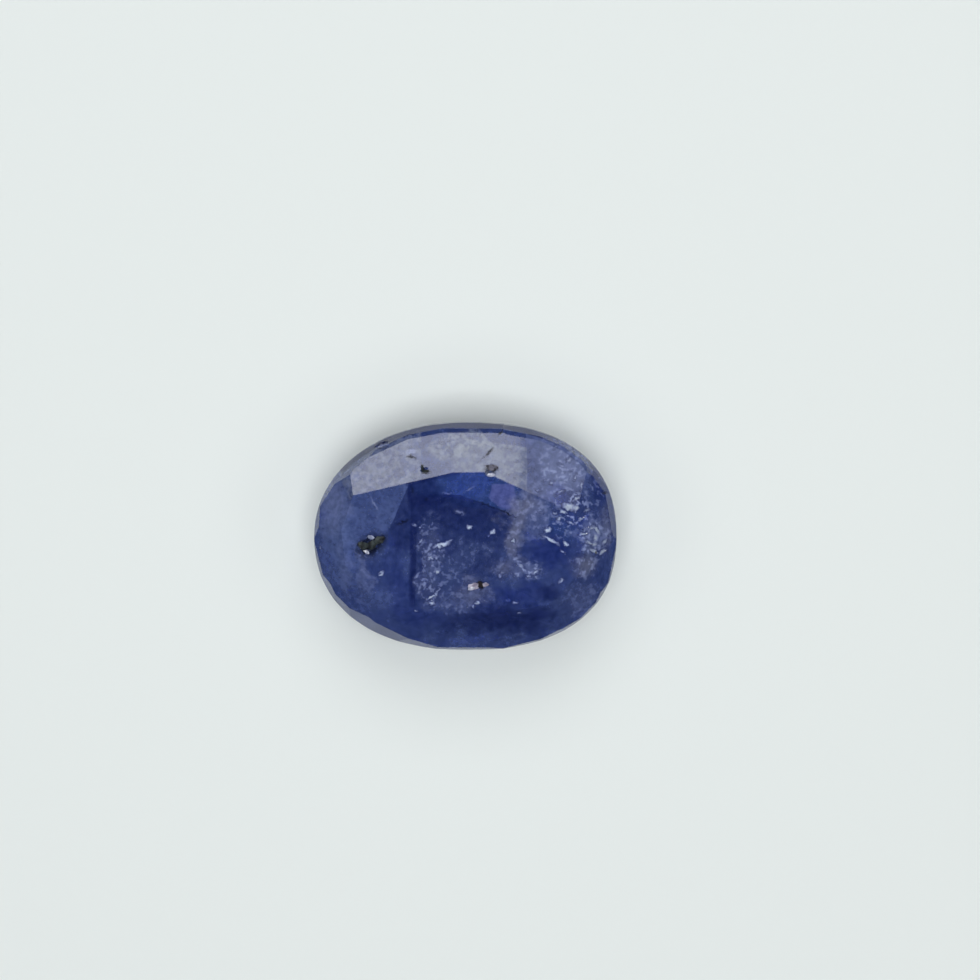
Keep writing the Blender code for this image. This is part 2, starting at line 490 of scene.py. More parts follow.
def glitter_group() -> bpy.types.NodeTree:
    """Make the group for painted glitter: crinkled bright strokes and pale blots for sparkle.

    The strokes are the lines where a noise passes its middle value, kept where a second noise
    is high so that they break up, and the blots are where that second noise is highest.

    Returns:
        The group, which gives 1 on the strokes and a little less on the blots.
    """
    group = new_group("glitter", {
        "Position": (0.0, 0.0, 0.0), "Shake": (0.0, 0.0, 0.0), "Scale": 2300.0,
        "Cloud Scale": 4200.0, "Width": 0.075, "Ragged": 0.30 * MM, "Broken Low": 0.46,
        "Broken High": 0.56, "Blot Low": 0.59, "Blot High": 0.68, "Blot": 0.9}, ["Mask"])
    nodes = NodeTree(group)
    given = group.nodes["Group Input"].outputs
    place = nodes.vector(
        "ADD", given["Position"], nodes.scaled(given["Shake"], given["Ragged"]))
    wave = nodes.noise(place, given["Scale"], 1.5, 0.5)
    off = nodes.maths("ABSOLUTE", nodes.maths("SUBTRACT", wave.outputs["Fac"], 0.5))
    line = nodes.smooth_step(nodes.maths("DIVIDE", off, given["Width"]), 1.0, 0.2)
    cloud = nodes.noise(place, given["Cloud Scale"], 1.5).outputs["Fac"]
    broken = nodes.smooth_step(cloud, given["Broken Low"], given["Broken High"])
    strokes = nodes.maths("MULTIPLY", line, broken)
    blots = nodes.maths(
        "MULTIPLY", nodes.smooth_step(cloud, given["Blot Low"], given["Blot High"]),
        given["Blot"])
    mask = nodes.maths("MAXIMUM", strokes, blots)
    nodes.tree.links.new(mask, group.nodes["Group Output"].inputs["Mask"])
    return group


def silk_group() -> bpy.types.NodeTree:
    """Make the group for cloudy silk.

    A fine noise reads its place stretched and shaken by a coarser noise, and a smooth step cuts
    it into clouds.

    Returns:
        The group, which gives 0 between the clouds and its Level input in them.
    """
    group = new_group("silk", {
        "Position": (0.0, 0.0, 0.0), "Shake": (0.0, 0.0, 0.0), "Stretch": (1.0, 0.55, 1.0),
        "Scale": 900.0, "Warp": 0.6 * MM, "Low": 0.40, "High": 0.72, "Level": 0.55}, ["Mask"])
    nodes = NodeTree(group)
    given = group.nodes["Group Input"].outputs
    stretched = nodes.vector("MULTIPLY", given["Position"], given["Stretch"])
    shaken = nodes.vector("ADD", stretched, nodes.scaled(given["Shake"], given["Warp"]))
    noise = nodes.noise(shaken, given["Scale"], 6.0, 0.62)
    step = nodes.smooth_step(noise.outputs["Fac"], given["Low"], given["High"])
    nodes.tree.links.new(
        nodes.maths("MULTIPLY", step, given["Level"]), group.nodes["Group Output"].inputs["Mask"])
    return group


def new_material(name: str) -> tuple[bpy.types.Material, NodeTree, bpy.types.Node]:
    """Start a material.

    Args:
        name: its name.

    Returns:
        The material, its tree and its Principled shader.
    """
    material = bpy.data.materials.new(name)
    material.use_nodes = True
    return material, NodeTree(material.node_tree), material.node_tree.nodes["Principled BSDF"]


# Finishes


@dataclass(frozen=True)
class PaperFinish:
    """Plain matt paper, for the floor."""

    colour: Colour
    roughness: float = 0.9
    gloss: float = 0.2

    def build(self) -> bpy.types.Material:
        """Make the material.

        Returns:
            Plain paper in one colour.
        """
        material, _, shader = new_material("floor_paper")
        shader.inputs["Base Color"].default_value = (*self.colour, 1.0)
        shader.inputs["Roughness"].default_value = self.roughness
        shader.inputs["Specular IOR Level"].default_value = self.gloss
        return material


class Side(Enum):
    """Which flats of the stone a zone shows on."""

    TABLE = "table"
    CROWN = "crown"
    RIM = "rim"


DEEP_BLUE = (0.014, 0.041, 0.28)
MID_BLUE = (0.040, 0.078, 0.31)
MILKY_BLUE = (0.13, 0.20, 0.52)
LILAC_MILK = (0.25, 0.32, 0.66)
BROWN_MILK = (0.28, 0.31, 0.50)
INK_BLUE = (0.004, 0.018, 0.155)
CLEAR_BLUE = (0.038, 0.095, 0.40)
VIOLET = (0.20, 0.23, 0.72)
# Painted reflection: the colour of the light band mirrored in the crown.
PAINTED_SHEEN_SILVER = (0.46, 0.54, 0.70)
# Painted glint: the white cores laid over the feathers.
PAINTED_GLINT_WHITE = (0.68, 0.80, 1.0)
PALE_LILAC = (0.38, 0.46, 0.84)
# Painted glitter: the colour of bright strokes for sparkle.
SPARK_LILAC = (0.42, 0.52, 0.96)
# Dark grains and lines, and painted shade on a pit's wall and the girdle chip.
BLACK_AND_PAINTED_SHADE = (0.005, 0.010, 0.042)


@dataclass(frozen=True)
class Patch:
    """One soft zone of colour in the crystal, as the photograph shows it.

    Its edge wanders by the ragged share of its size. It is at its full strength in its core, as
    a share of its size, and the glitter is the strength of the painted glitter in it: bright
    strokes that stand in for sparkle.
    """

    pixel: Pixel
    half_pixels: Pixel
    colour: Colour
    strength: float
    ragged: float = 1.0
    core: float = 0.2
    glitter: float = 0.0


LEFT_MILK = Patch((338, 545), (34, 60), MILKY_BLUE, 0.75)
LEFT_LILAC = Patch((330, 500), (28, 44), LILAC_MILK, 0.60)
LEFT_STREAK = Patch((366, 574), (11, 36), LILAC_MILK, 0.45, 1.8, 0.1, 0.15)
LEFT_STREAK_OUTER = Patch((345, 570), (9, 40), LILAC_MILK, 0.25, 1.8)
LOWER_LEFT_MILK = Patch((380, 600), (30, 24), MILKY_BLUE, 0.30, 1.4)
LEFT_SEAM_DARK = Patch((398, 590), (16, 36), DEEP_BLUE, 0.5, 1.0)
BOTTOM_DARK = Patch((500, 620), (82, 28), INK_BLUE, 0.85, 0.8)
BOTTOM_LEFT_DARK = Patch((420, 618), (34, 14), DEEP_BLUE, 0.5, 0.8)
SEAM_MILK = Patch((430, 562), (17, 52), LILAC_MILK, 0.39, 1.9, 0.1, 0.8)
CENTRE_MILK = Patch((450, 574), (30, 30), MILKY_BLUE, 0.35, 1.8, 0.1, 0.25)
SAUCER_MILK = Patch((452, 600), (34, 12), LILAC_MILK, 0.25, 1.6, 0.1, 0.3)
UNDER_PIT_MILK = Patch((474, 592), (26, 16), BROWN_MILK, 0.34, 1.8, 0.1, 0.2)
UPPER_SEAM_SILK = Patch((428, 522), (13, 12), MILKY_BLUE, 0.22, 1.8, 0.1, 0.3)
CENTRE_SILK = Patch((472, 550), (24, 18), MILKY_BLUE, 0.35, 1.9, 0.0, 0.2)
CLOUD_BAND = Patch((515, 534), (16, 46), BROWN_MILK, 0.68, 1.8, 0.0, 0.4)
CLOUD_TOP = Patch((526, 506), (28, 22), BROWN_MILK, 0.70, 1.6, 0.0, 0.3)
CLOUD_BOUNDARY = Patch((539, 516), (18, 36), LILAC_MILK, 0.50, 1.8, 0.0, 0.4)
CLOUD_FOOT = Patch((502, 568), (16, 14), BROWN_MILK, 0.42, 1.9, 0.0, 0.4)
CLOUD_PATCH = Patch((528, 571), (20, 12), LILAC_MILK, 0.5, 1.5, 0.3, 1.0)
CLOUD_PATCH_TOP = Patch((514, 562), (8, 6), LILAC_MILK, 0.3, 1.5, 0.2, 1.0)
RIGHT_HAZE = Patch((564, 470), (44, 36), LILAC_MILK, 0.80, 1.7, 0.0, 0.75)
RIGHT_UPPER_HAZE = Patch((556, 448), (40, 26), LILAC_MILK, 0.55, 1.7, 0.0, 0.15)
RIGHT_CLEAR = Patch((562, 527), (30, 20), CLEAR_BLUE, 0.75, 1.2, 0.2, 0.5)
RIGHT_DEEP = Patch((551, 553), (34, 24), DEEP_BLUE, 0.85, 1.4, 0.2)
RIGHT_CROWN_DEEP = Patch((600, 478), (12, 30), DEEP_BLUE, 0.75, 1.6, 0.3, 0.3)
SPARK_FIELD = Patch((575, 510), (30, 26), DEEP_BLUE, 0.3, 1.4, 0.2, 1.0)
RIM_GLITTER = Patch((592, 538), (19, 28), LILAC_MILK, 0.60, 1.6, 0.3, 1.0)
# Painted sparkle on the rim.
RIM_SPARKLE = Patch((594, 538), (13, 18), SPARK_LILAC, 0.22, 1.8, 0.3, 1.0)
RIM_SILK = Patch((606, 530), (9, 34), BROWN_MILK, 0.45, 1.6, 0.1, 0.2)
LOWER_RIGHT_CLOUD = Patch((585, 565), (21, 17), BROWN_MILK, 0.7, 1.8, 0.0, 0.9)
LOWER_RIGHT_LILAC = Patch((582, 600), (28, 32), LILAC_MILK, 0.32, 1.0, 0.1, 0.2)
LOWER_RIGHT_DARK = Patch((548, 592), (17, 11), INK_BLUE, 0.8, 1.5)
BOTTOM_RIGHT_DARK = Patch((536, 612), (22, 14), INK_BLUE, 0.5, 1.2)
MIDDLE_DARK = Patch((516, 594), (36, 15), DEEP_BLUE, 0.75, 1.6)
PATCHES = (
    LEFT_MILK, LEFT_LILAC, LEFT_STREAK, LEFT_STREAK_OUTER, LOWER_LEFT_MILK, LEFT_SEAM_DARK,
    BOTTOM_DARK, BOTTOM_LEFT_DARK, MIDDLE_DARK, SEAM_MILK, UPPER_SEAM_SILK, CENTRE_MILK,
    CENTRE_SILK, SAUCER_MILK, UNDER_PIT_MILK, CLOUD_TOP, CLOUD_BOUNDARY, CLOUD_BAND, CLOUD_FOOT,
    RIGHT_HAZE, RIGHT_UPPER_HAZE, RIGHT_CLEAR, RIGHT_DEEP, RIGHT_CROWN_DEEP, SPARK_FIELD,
    RIM_SILK, RIM_GLITTER, RIM_SPARKLE, LOWER_RIGHT_LILAC, LOWER_RIGHT_CLOUD, LOWER_RIGHT_DARK,
    BOTTOM_RIGHT_DARK, CLOUD_PATCH, CLOUD_PATCH_TOP)


@dataclass(frozen=True)
class Zone:
    """A zone with straight sides. Most are growth zones, as angular as a sapphire's bands are. The
    crown bands are a painted reflection of the light, the left light and shadow zones are
    painted light and shade on facets seen through the table, and the back rim's zone is painted
    shade.

    The corners go counter-clockwise as the photograph shows them, and each side from a corner
    to the next has its own softness in pixels. The mottle is the share of the strength that
    comes and goes with a grain.
    """

    corners: tuple[Pixel, ...]
    softness: tuple[float, ...]
    colour: Colour
    strength: float
    side: Side = Side.TABLE
    mottle: float = 0.0


UPPER_CLEAR = Zone(
    ((408, 470), (408, 506), (470, 508), (524, 522), (530, 470)),
    (1.2, 2.0, 2.0, 14.0, 2.0), CLEAR_BLUE, 0.85)
CLEAR_CORNER = Zone(
    ((408, 470), (408, 508), (450, 503), (432, 474)),
    (1.2, 3.0, 16.0, 2.0), INK_BLUE, 0.75, Side.TABLE, 0.2)
UNDER_BAND = Zone(
    ((406, 480), (406, 486.6), (460, 474.3), (460, 465)),
    (2.0, 1.2, 5.0, 2.0), INK_BLUE, 0.55)
CENTRAL_DARK = Zone(
    ((411, 497), (411, 606), (462, 600), (498, 566), (515, 517), (500, 509.5), (475, 500),
     (460, 495), (439.5, 494)),
    (1.5, 30.0, 30.0, 14.0, 1.0, 1.0, 1.0, 1.0, 4.0), INK_BLUE, 0.62, Side.TABLE, 0.25)
UPPER_DARK = Zone(
    ((411, 496), (411, 530), (490, 522), (515, 517), (500, 509.5), (475, 500), (460, 495),
     (439.5, 494)),
    (2.0, 10.0, 10.0, 2.0, 1.0, 1.0, 1.0, 3.0), INK_BLUE, 0.5, Side.TABLE, 0.3)
# Painted light and painted shade: a facet seen lit through the table, and the one beside it seen
# shaded.
LEFT_LIGHT = Zone(
    ((409, 484), (352, 490), (326, 512), (338, 552), (389, 529)),
    (1.0, 6.0, 14.0, 20.0, 0.8), MILKY_BLUE, 0.42, Side.TABLE, 0.3)
LEFT_SHADOW = Zone(
    ((409.5, 484), (389.5, 528), (394, 550), (412, 552), (412.5, 484)),
    (0.8, 6.0, 12.0, 1.5, 1.5), INK_BLUE, 0.62, Side.TABLE, 0.2)
SEAM = Zone(
    ((417, 520), (410.5, 520), (408.5, 606), (415, 606)), (4.0, 2.6, 14.0, 1.4), INK_BLUE, 0.72)
VIOLET_PATCH = Zone(
    ((513, 484), (492, 484), (489, 498), (500, 508), (519, 511)),
    (2.0, 2.0, 3.0, 3.0, 3.0), VIOLET, 0.5)
# Painted reflection: the light band that the crown's facets mirror, painted over them.
SHEEN_BAND_LEFT = Zone(
    ((421, 430), (330, 456), (350, 500), (421, 500)),
    (2.0, 2.0, 2.0, 2.0), PAINTED_SHEEN_SILVER, 0.38, Side.CROWN, 0.9)
SHEEN_BAND_MIDDLE = Zone(
    ((527, 446), (492, 442), (456, 436), (452, 480), (527, 492)),
    (3.0, 3.0, 10.0, 2.0, 1.5), PAINTED_SHEEN_SILVER, 0.56, Side.CROWN, 0.7)
SHEEN_BAND_UPPER = Zone(
    ((478, 428), (448, 434), (424, 446), (440, 462), (492, 444)),
    (3.0, 3.0, 8.0, 8.0, 3.0), PAINTED_SHEEN_SILVER, 0.5, Side.CROWN, 0.9)
SHEEN_BAND_RIGHT = Zone(
    ((560, 430), (526, 430), (526, 492), (542, 500), (572, 482)),
    (4.0, 1.5, 2.0, 8.0, 16.0), LILAC_MILK, 0.3, Side.CROWN, 0.5)
# Painted shade darkening the back rim.
BACK_RIM_SHADE = Zone(
    ((612, 470), (590, 400), (330, 400), (330, 470)),
    (3.0, 3.0, 3.0, 3.0), INK_BLUE, 0.85, Side.RIM)
ZONES = (
    UPPER_CLEAR, CLEAR_CORNER, UNDER_BAND, CENTRAL_DARK, UPPER_DARK, LEFT_LIGHT, LEFT_SHADOW,
    SEAM, VIOLET_PATCH, SHEEN_BAND_LEFT, SHEEN_BAND_MIDDLE, SHEEN_BAND_UPPER, SHEEN_BAND_RIGHT, BACK_RIM_SHADE)


@dataclass(frozen=True)
class Mark:
    """One flat thing in the crystal, as the photograph shows it. A few marks are painted light or
    shade instead: on the girdle chip and round the table's pit.

    Its length and width are in pixels, its turn is counter-clockwise in the picture, and its
    depth is below the surface.
    """

    pixel: Pixel
    length: float
    width: float
    turn_deg: float = 0.0
    strength: float = 1.0
    depth: float = 0.06 * MM


LONG_STREAK = Mark((442, 544.8), 13, 3.6, 14)
LONG_STREAK_TAIL = Mark((449.5, 541), 7, 1.8, 20, 0.7)
DOUBLE_SPARK = Mark((430.5, 558.5), 5, 3, 20, 0.85)
DOUBLE_SPARK_RIGHT = Mark((436, 558), 3.2, 3.2, 60, 0.7)
MIDDLE_SPARK = Mark((438, 572), 3, 2.6)
LOW_SPARK = Mark((432, 603), 4.5, 3.6, 10)
LOW_STREAK = Mark((432.5, 596.5), 12, 2.0, 32, 0.9)
LOW_STREAK_UPPER = Mark((438, 591), 9, 1.4, 40, 0.6)
LONE_SPARK = Mark((381.5, 574), 5.5, 2.6, 40, 0.8)
LOW_DOT = Mark((416, 611), 3.2, 2.2, 0, 0.7)
UPPER_LEFT_SPARK = Mark((414.5, 525), 6, 2.2, -20, 0.6)
UPPER_LEFT_GRAIN = Mark((420, 528), 3.4, 2.2, 30, 0.6)
LEFT_EDGE_DOT = Mark((320, 547.5), 2.8, 2.2, 0, 0.6)
CENTRE_SPARK = Mark((469.6, 527), 4.4, 3.2)
CENTRE_SPARK_RIGHT = Mark((492.8, 532), 4.4, 3.8, 40)
CENTRE_SPARK_FAINT = Mark((488.4, 535.6), 3.4, 2.6, 40, 0.55)
CLOUD_DOT = Mark((513, 541), 3, 3, 0, 0.9)
BLOCK_SPARK = Mark((569, 506.5), 9, 5.6, -10)
BLOCK_SPARK_TAIL = Mark((576.6, 508), 4.4, 2.8, -35)
BLOCK_SPARK_LEFT = Mark((563, 511.5), 7.4, 3.0, -30, 0.9)
ROUND_SPARK = Mark((587, 510), 6.4, 2.8, 20, 0.7)
DROP_SPARK = Mark((547.6, 529.8), 6, 4.2, 25)
LONG_RIGHT_STREAK = Mark((550.8, 540), 15, 2.6, -29, 0.9)
SHORT_RIGHT_STREAK = Mark((566, 544), 5.6, 2.8, -40)
LOWER_RIGHT_STREAK = Mark((563, 552.5), 6.4, 2.0, -50, 0.7)
UPPER_RIGHT_SPARK = Mark((559.4, 518.5), 4.4, 2.4, 50, 0.8)
SMALL_RIGHT_SPARK = Mark((555.3, 513.2), 3.2, 2.6, 0, 0.7)
FAINT_RIGHT_STREAK = Mark((540.6, 512.6), 7, 1.6, 4, 0.5)
SPLINTER = Mark((581.8, 486), 6.4, 2.0, 75, 0.7)
HAZE_SPARK = Mark((568.8, 459.7), 5.4, 3.6, 15, 0.7)
HAZE_STREAK = Mark((567.6, 472), 6.4, 2.2, 5, 0.5)
HAZE_DOT = Mark((551.8, 483), 4, 3.6, 0, 0.6)
HAZE_DOT_LEFT = Mark((545, 480), 3, 2.4, 30, 0.5)
RIM_SPARK = Mark((592, 527.5), 4, 2.8, 30)
RIM_STREAK = Mark((584, 534), 8, 2.4, 8, 0.8)
RIM_STREAK_UPPER = Mark((586, 528), 8, 1.6, 12, 0.6)
RIM_BLOCK = Mark((596, 538), 6, 4.4, 70, 0.85)
RIM_BLOCK_LOWER = Mark((595, 544.5), 5, 3.6, 20, 0.85)
RIM_LOWER_STREAK = Mark((594, 551), 8.4, 2.6, -38)
RIM_LOWER_SPARK = Mark((603, 551.5), 7, 3.2, 30, 0.9)
LOWER_SPARK = Mark((561, 581), 5.6, 3.4, 42, 0.75)
LOWER_DOT = Mark((515.3, 603), 5.4, 2.8, 5, 0.7)
LOWER_CLOUD = Mark((508, 600), 6, 5, 0, 0.35)
LOWEST_DOT = Mark((519.4, 612.5), 4, 3.4, 0, 0.6)
PATCH_DOT = Mark((500, 576), 3, 4, 0, 0.6)
UNDER_PIT_SPARK = Mark((477.6, 602.4), 4.4, 2.8, 10, 0.8)
UNDER_PIT_DOT = Mark((473, 606), 3, 3.4, 0, 0.6)
HAZE_DASH_TOP = Mark((556, 447), 5, 2.2, 40, 0.6)
HAZE_DASH_UPPER = Mark((562, 466), 7, 2.4, -30, 0.6)
HAZE_DASH_MIDDLE = Mark((575, 478), 6, 2.2, 65, 0.7)
HAZE_DASH_LOWER = Mark((561, 492), 8, 2.4, 20, 0.6)
HAZE_DASH_LEFT = Mark((538, 490), 6, 2.0, -15, 0.5)
FIELD_DASH = Mark((577, 498), 7, 2.6, 30, 0.75)
FIELD_DASH_LOWER = Mark((571, 523), 9, 2.2, -18, 0.65)
FIELD_DASH_RIGHT = Mark((581, 519), 7, 2.2, 24, 0.7)
RIM_CROSS = Mark((597, 530), 9, 2.4, -55, 0.9)
RIM_CROSS_LOWER = Mark((590, 543), 9, 2.4, -25, 0.9)
RIM_EDGE_DASH = Mark((605, 541), 7, 2.4, 60, 0.8)
CLOUD_DASH = Mark((521, 566), 7, 2.2, -30, 0.65)
CLOUD_DASH_RIGHT = Mark((536, 572), 6, 3.0, 35, 0.75)
CLOUD_DASH_LOWER = Mark((529, 576), 5, 2.2, 10, 0.65)
SEAM_DASH_TOP = Mark((421, 541), 6, 2.0, 60, 0.65)
SEAM_DASH_MIDDLE = Mark((424, 569), 8, 1.8, -62, 0.5)
SEAM_DASH_LOWER = Mark((425, 588), 9, 1.8, 50, 0.55)
FEATHERS = (
    HAZE_DASH_TOP, HAZE_DASH_UPPER, HAZE_DASH_MIDDLE, HAZE_DASH_LOWER, HAZE_DASH_LEFT,
    FIELD_DASH, FIELD_DASH_LOWER, FIELD_DASH_RIGHT, RIM_CROSS, RIM_CROSS_LOWER, RIM_EDGE_DASH,
    CLOUD_DASH, CLOUD_DASH_RIGHT, CLOUD_DASH_LOWER, SEAM_DASH_TOP, SEAM_DASH_MIDDLE,
    SEAM_DASH_LOWER,
    LONG_STREAK, LONG_STREAK_TAIL, DOUBLE_SPARK, DOUBLE_SPARK_RIGHT, MIDDLE_SPARK, LOW_SPARK,
    LOW_STREAK, LOW_STREAK_UPPER, LONE_SPARK, LOW_DOT, UPPER_LEFT_SPARK, UPPER_LEFT_GRAIN,
    LEFT_EDGE_DOT, CENTRE_SPARK, CENTRE_SPARK_RIGHT, CENTRE_SPARK_FAINT, CLOUD_DOT, BLOCK_SPARK,
    BLOCK_SPARK_TAIL, BLOCK_SPARK_LEFT, ROUND_SPARK, DROP_SPARK, LONG_RIGHT_STREAK,
    SHORT_RIGHT_STREAK, LOWER_RIGHT_STREAK, UPPER_RIGHT_SPARK, SMALL_RIGHT_SPARK,
    FAINT_RIGHT_STREAK, SPLINTER, HAZE_SPARK, HAZE_STREAK, HAZE_DOT, HAZE_DOT_LEFT, RIM_SPARK,
    RIM_STREAK, RIM_STREAK_UPPER, RIM_BLOCK, RIM_BLOCK_LOWER, RIM_LOWER_STREAK,
    RIM_LOWER_SPARK, LOWER_SPARK, LOWER_DOT, LOWER_CLOUD, LOWEST_DOT, PATCH_DOT,
    UNDER_PIT_SPARK, UNDER_PIT_DOT)

LEFT_VEIN_UPPER = Mark((374.5, 504), 14, 1.6, -62, 0.7)
LEFT_VEIN_LOWER = Mark((377, 517), 12, 1.3, 76, 0.4)
LEFT_VEIN_LONG = Mark((345, 533), 32, 2.0, -54, 0.25)
LEFT_VEIN_SHORT = Mark((343, 492), 22, 1.4, 80, 0.35)
SHARP_EDGE = Mark((399, 507), 42, 1.6, 64, 0.22)
UPPER_VEIL = Mark((470, 489), 16, 2.2, 32, 0.5)
UPPER_VEIL_LEFT = Mark((448, 493.4), 17, 1.7, -2, 0.45)
LILAC_CRYSTAL = Mark((459.5, 512.3), 11, 4.4, -22, 0.6)
DASH_CAP = Mark((411.4, 451.4), 9, 3.6, 8, 0.9)
FOOT_LINE_LEFT = Mark((440, 637), 34, 3.4, -5, 0.25)
FOOT_LINE_RIGHT = Mark((520, 634.5), 20, 4.4, 8, 0.35)
FOOT_LINE_MIDDLE = Mark((484, 640), 44, 3.4, 2, 0.22)
CHIP_LIGHT = Mark((383, 445.4), 11, 3.0, 16, 0.9)
PALE_MARKS = (
    LEFT_VEIN_UPPER, LEFT_VEIN_LOWER, LEFT_VEIN_LONG, LEFT_VEIN_SHORT, SHARP_EDGE, UPPER_VEIL,
    UPPER_VEIL_LEFT, LILAC_CRYSTAL, DASH_CAP, FOOT_LINE_LEFT, FOOT_LINE_RIGHT, FOOT_LINE_MIDDLE,
    CHIP_LIGHT)

DASH = Mark((411.8, 456.8), 7.2, 2.8, -14)
PIT_STEM = Mark((422.4, 468), 2.6, 7, 6, 0.9)
PIT_FOOT = Mark((426, 471.8), 7.6, 3.2, 0)
SCRATCH = Mark((488.8, 452.8), 11, 2.0, 42)
SCRATCH_TAIL = Mark((480, 460.6), 12, 1.2, 46, 0.5)
TICK = Mark((501, 432.4), 6, 1.8, 42)
TICK_TAIL = Mark((497, 437.4), 7, 1.1, 52, 0.5)
# Painted shade: the shaded wall of the table's pit.
PIT_WALL_SHADE = Mark((491, 469.6), 13, 9, 0, 0.75)
PIT_WALL_SHADE_TIP = Mark((490.6, 481), 6, 2.4, 0, 0.6)
CHIP_SHADE = Mark((384, 442.6), 14, 2.0, 16, 0.8)
CHIP_SHADE_LOWER = Mark((382, 448.2), 13, 1.6, 16, 0.7)
RIM_DARK_SPOT = Mark((604.6, 492.8), 5, 4, 0, 0.8)
LINE_UNDER_CLEAR = Mark((507.5, 513), 18, 1.5, -25, 0.8)
LINE_UNDER_CLEAR_LEFT = Mark((487, 504.6), 28, 1.3, -21, 0.7)
SPOT_NEAR_STREAK = Mark((426, 499), 4, 4, 0, 0.6)
SPOT_BY_EDGE = Mark((413, 491), 4, 7, 0, 0.6)
CORNER_GRAIN = Mark((404, 522), 16, 3, 24, 0.7)
CRYSTAL_SHADE = Mark((370.5, 545), 24, 17, 30)
CRYSTAL_SHADE_LEFT = Mark((362, 546), 9, 8, -10)
CRYSTAL_SHADE_TIP = Mark((382, 539.5), 13, 8, 25, 0.8)
FRONT_SHADE = Mark((480.4, 584.6), 5.4, 8, 10)
FRONT_SHADE_RIGHT = Mark((486.5, 585.4), 8, 3, -10, 0.6)
DARK_MARKS = (
    CRYSTAL_SHADE, CRYSTAL_SHADE_LEFT, CRYSTAL_SHADE_TIP, FRONT_SHADE, FRONT_SHADE_RIGHT, DASH,
    PIT_STEM, PIT_FOOT, SCRATCH, SCRATCH_TAIL, TICK, TICK_TAIL, PIT_WALL_SHADE, PIT_WALL_SHADE_TIP, CHIP_SHADE,
    CHIP_SHADE_LOWER, RIM_DARK_SPOT, LINE_UNDER_CLEAR, LINE_UNDER_CLEAR_LEFT,
    SPOT_NEAR_STREAK, SPOT_BY_EDGE, CORNER_GRAIN)


